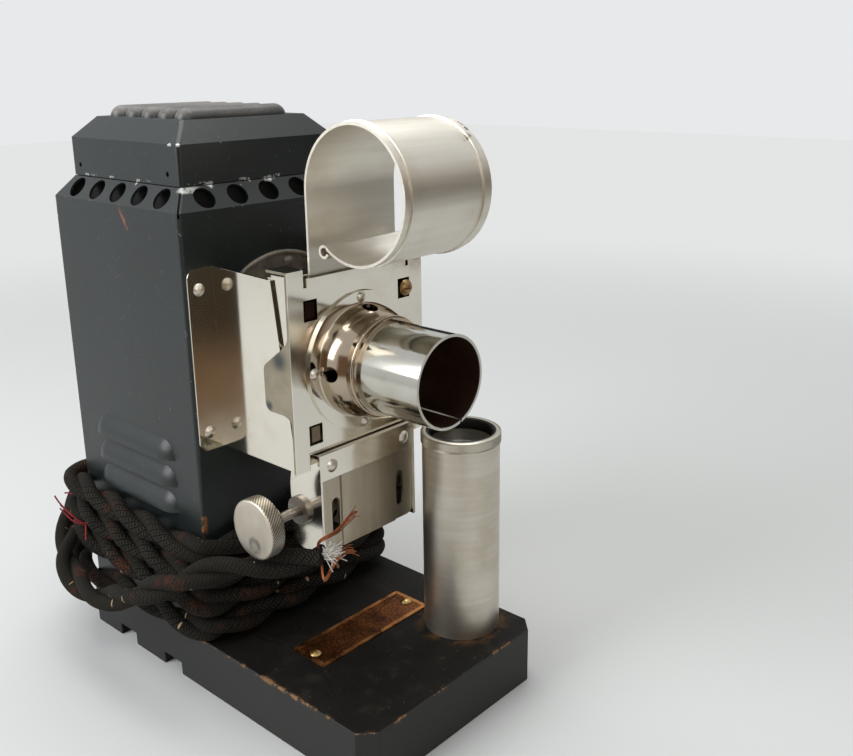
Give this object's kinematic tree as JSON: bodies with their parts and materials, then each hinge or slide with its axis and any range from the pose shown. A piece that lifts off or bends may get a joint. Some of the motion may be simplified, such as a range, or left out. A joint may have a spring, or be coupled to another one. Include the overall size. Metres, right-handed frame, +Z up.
{
  "type": "filmstrip projector",
  "caption": "Tabletop filmstrip projector: square lamp house with vented cap, hinged film gate and lens holder, film magazine, sprocket with knurled knob, spare lens and wound cord on a board.",
  "frame": {"origin": "centre of the base board's underside", "axes": "+Z up, -Y the way the lens looks, +X to the right of someone facing the lens"},
  "size_m": [0.1101, 0.1734, 0.1885],
  "materials": {
    "painted_wood": "black paint over wood, worn to bare wood along the edges",
    "crackle_paint": "slate grey-green baked paint, chipped at the corners",
    "polished_nickel": "bright nickel plate, lightly worn",
    "satin_nickel": "satin nickel plate with scuffs",
    "dull_steel": "plain steel",
    "dark_steel": "blackened steel",
    "brass": "aged brass",
    "mirror": "silvered mirror",
    "optical_glass": "clear polished glass",
    "black_moulding": "moulded black insulator",
    "braid": "dark green-black cotton braid, frayed",
    "copper_wire": "bare stranded copper",
    "bronzed_plate": "speckled bronze plate"
  },
  "bodies": {
    "root": {"base_board": "painted_wood", "lamphouse_shell": "crackle_paint", "lamphouse_screws": "dark_steel", "condenser_flange": "crackle_paint", "condenser_rivets": "crackle_paint", "condenser_tube": "dull_steel", "condenser_lens_front": "optical_glass", "condenser_lens_rear": "optical_glass", "condenser_spacer": "dull_steel", "condenser_retainers": "dull_steel", "lamp_bulb": "optical_glass", "lamp_filament": "dull_steel", "lamp_base": "brass", "lamp_socket": "brass", "socket_insulator": "black_moulding", "socket_bracket": "dull_steel", "socket_screws": "dark_steel", "reflector": "mirror", "reflector_stud": "dull_steel", "lamp_leads": "braid", "cord_bushing": "black_moulding", "gate_bracket_left": "polished_nickel", "gate_bracket_right": "polished_nickel", "bracket_rivets": "polished_nickel", "aperture_plate": "polished_nickel", "door_hinge_leaf": "polished_nickel", "door_hinge_pin": "dull_steel", "film_magazine": "satin_nickel", "magazine_rivets": "satin_nickel", "shaft_bushings": "dull_steel", "shoe_bracket": "polished_nickel", "film_shoe": "satin_nickel", "film_shoe_pad": "satin_nickel", "shoe_rivets": "polished_nickel", "nameplate": "bronzed_plate", "nameplate_screws": "brass", "power_cord": "braid", "cord_bare_wires": "copper_wire"},
    "cap": {"lamphouse_cap": "crackle_paint"},
    "door": {"gate_door": "polished_nickel", "pressure_plate": "satin_nickel", "pressure_springs": "dull_steel", "gate_screw": "brass", "lens_mount": "polished_nickel", "lens_mount_rivets": "polished_nickel", "lens_holder_tube": "polished_nickel"},
    "sprocket": {"film_sprocket": "satin_nickel", "sprocket_shaft": "dull_steel", "shaft_collar": "dull_steel", "advance_knob": "satin_nickel"},
    "spare_lens": {"lens_barrel": "satin_nickel", "lens_rim_ring": "satin_nickel", "lens_front_glass": "optical_glass", "lens_rear_glass": "optical_glass", "lens_stop": "black_moulding"}
  },
  "joints": [
    {"name": "gate_door_hinge", "type": "hinge", "parent": "root", "child": "door", "pos_m": [0.0277, -0.0331, 0.113], "axis": [0, 0, 1], "range_deg": [0, 100]},
    {"name": "sprocket_turn", "type": "hinge", "parent": "root", "child": "sprocket", "pos_m": [0, -0.0279, 0.0684], "axis": [1, 0, 0], "continuous": true},
    {"name": "lamphouse_cap_lift", "type": "slide", "parent": "root", "child": "cap", "axis": [0, 0, 1], "range_m": [0, 0.06]},
    {"name": "spare_lens_lift", "type": "slide", "parent": "root", "child": "spare_lens", "axis": [0.53, -0.545, 0.6497], "range_m": [0, 0.06]}
  ]
}
